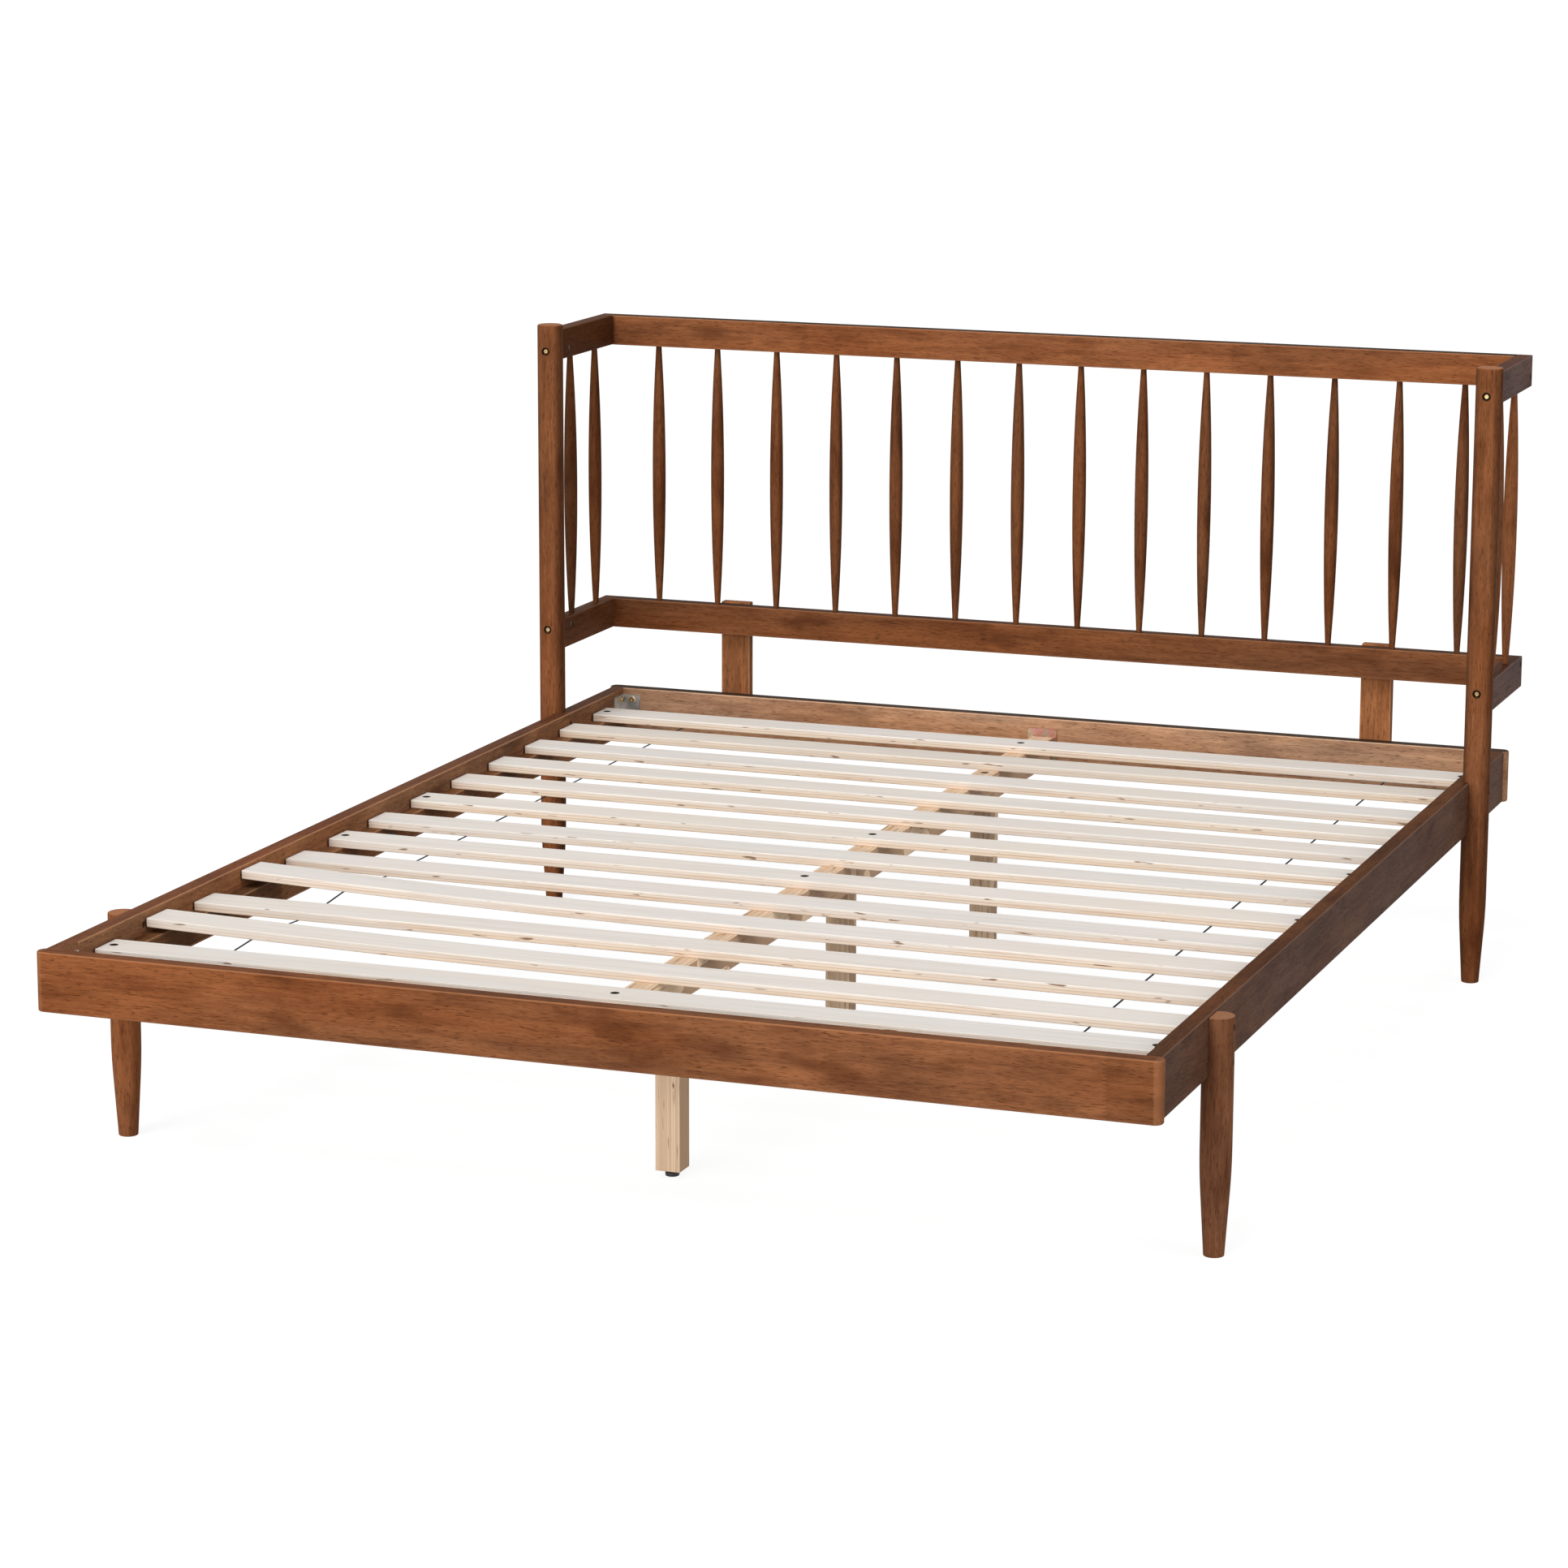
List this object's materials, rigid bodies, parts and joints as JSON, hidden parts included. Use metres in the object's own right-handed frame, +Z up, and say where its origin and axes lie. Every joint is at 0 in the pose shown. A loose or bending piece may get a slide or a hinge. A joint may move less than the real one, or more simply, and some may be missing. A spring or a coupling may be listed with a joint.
{
  "type": "platform bed",
  "caption": "Low wooden platform bed with turned legs, a spindle headboard with short wings, loose plywood slats and a centre beam on legs with levelling glides.",
  "frame": {"origin": "on the floor, under the centre of the whole bed's box", "axes": "+X to the right when looking from the foot to the head, +Y from the foot towards the headboard, +Z up"},
  "size_m": [1.6492, 2.11, 0.9965],
  "materials": {
    "stained_wood": "walnut-brown stain under satin lacquer",
    "pale_plywood": "bare sanded plywood",
    "laminated_veneer": "bare laminated veneer",
    "bare_hardwood": "bare",
    "glide_plastic": "matte",
    "strap_webbing": "woven",
    "bracket_steel": "satin plated",
    "passivated_zinc": "yellow passivated",
    "bolt_brass": "satin",
    "bright_zinc": "bright",
    "screw_black": "black phosphate"
  },
  "bodies": {
    "frame": {"back_lower_rail": "stained_wood", "back_spindles_left": "stained_wood", "back_spindles_right": "stained_wood", "back_strut_left": "stained_wood", "back_strut_right": "stained_wood", "back_top_rail": "stained_wood", "barrel_nuts": "screw_black", "beam_hanger_screws": "passivated_zinc", "beam_hangers": "passivated_zinc", "centre_beam": "laminated_veneer", "centre_leg_front": "laminated_veneer", "centre_leg_middle": "laminated_veneer", "centre_leg_rear": "laminated_veneer", "centre_leg_screws": "screw_black", "cleat_screws": "screw_black", "corner_bracket_bolts": "bolt_brass", "corner_brackets": "bracket_steel", "foot_rail": "stained_wood", "front_leg_left": "stained_wood", "front_leg_right": "stained_wood", "glide_inserts": "bright_zinc", "head_post_left": "stained_wood", "head_post_right": "stained_wood", "head_rail": "stained_wood", "leg_bolts": "bolt_brass", "leg_sleeve_nuts": "screw_black", "locating_dowels": "bare_hardwood", "lower_wing_rail_left": "stained_wood", "lower_wing_rail_right": "stained_wood", "post_bolts": "bolt_brass", "side_rail_left": "stained_wood", "side_rail_right": "stained_wood", "slat_01": "pale_plywood", "slat_02": "pale_plywood", "slat_03": "pale_plywood", "slat_04": "pale_plywood", "slat_05": "pale_plywood", "slat_06": "pale_plywood", "slat_07": "pale_plywood", "slat_08": "pale_plywood", "slat_09": "pale_plywood", "slat_10": "pale_plywood", "slat_11": "pale_plywood", "slat_12": "pale_plywood", "slat_13": "pale_plywood", "slat_cleat_left": "stained_wood", "slat_cleat_right": "stained_wood", "slat_screws": "screw_black", "slat_strap_left": "strap_webbing", "slat_strap_right": "strap_webbing", "strap_staples": "bright_zinc", "strut_screws": "screw_black", "upper_wing_rail_left": "stained_wood", "upper_wing_rail_right": "stained_wood", "wing_rear_bolts": "bolt_brass", "wing_spindles_left": "stained_wood", "wing_spindles_right": "stained_wood"},
    "glide_front": {"levelling_glide_front": "glide_plastic"},
    "glide_middle": {"levelling_glide_middle": "glide_plastic"},
    "glide_rear": {"levelling_glide_rear": "glide_plastic"}
  },
  "joints": [
    {"name": "glide_front_height", "type": "slide", "parent": "frame", "child": "glide_front", "axis": [0, 0, 1], "range_m": [-0.008, 0.003]},
    {"name": "glide_middle_height", "type": "slide", "parent": "frame", "child": "glide_middle", "axis": [0, 0, 1], "range_m": [-0.008, 0.003]},
    {"name": "glide_rear_height", "type": "slide", "parent": "frame", "child": "glide_rear", "axis": [0, 0, 1], "range_m": [-0.008, 0.003]}
  ]
}
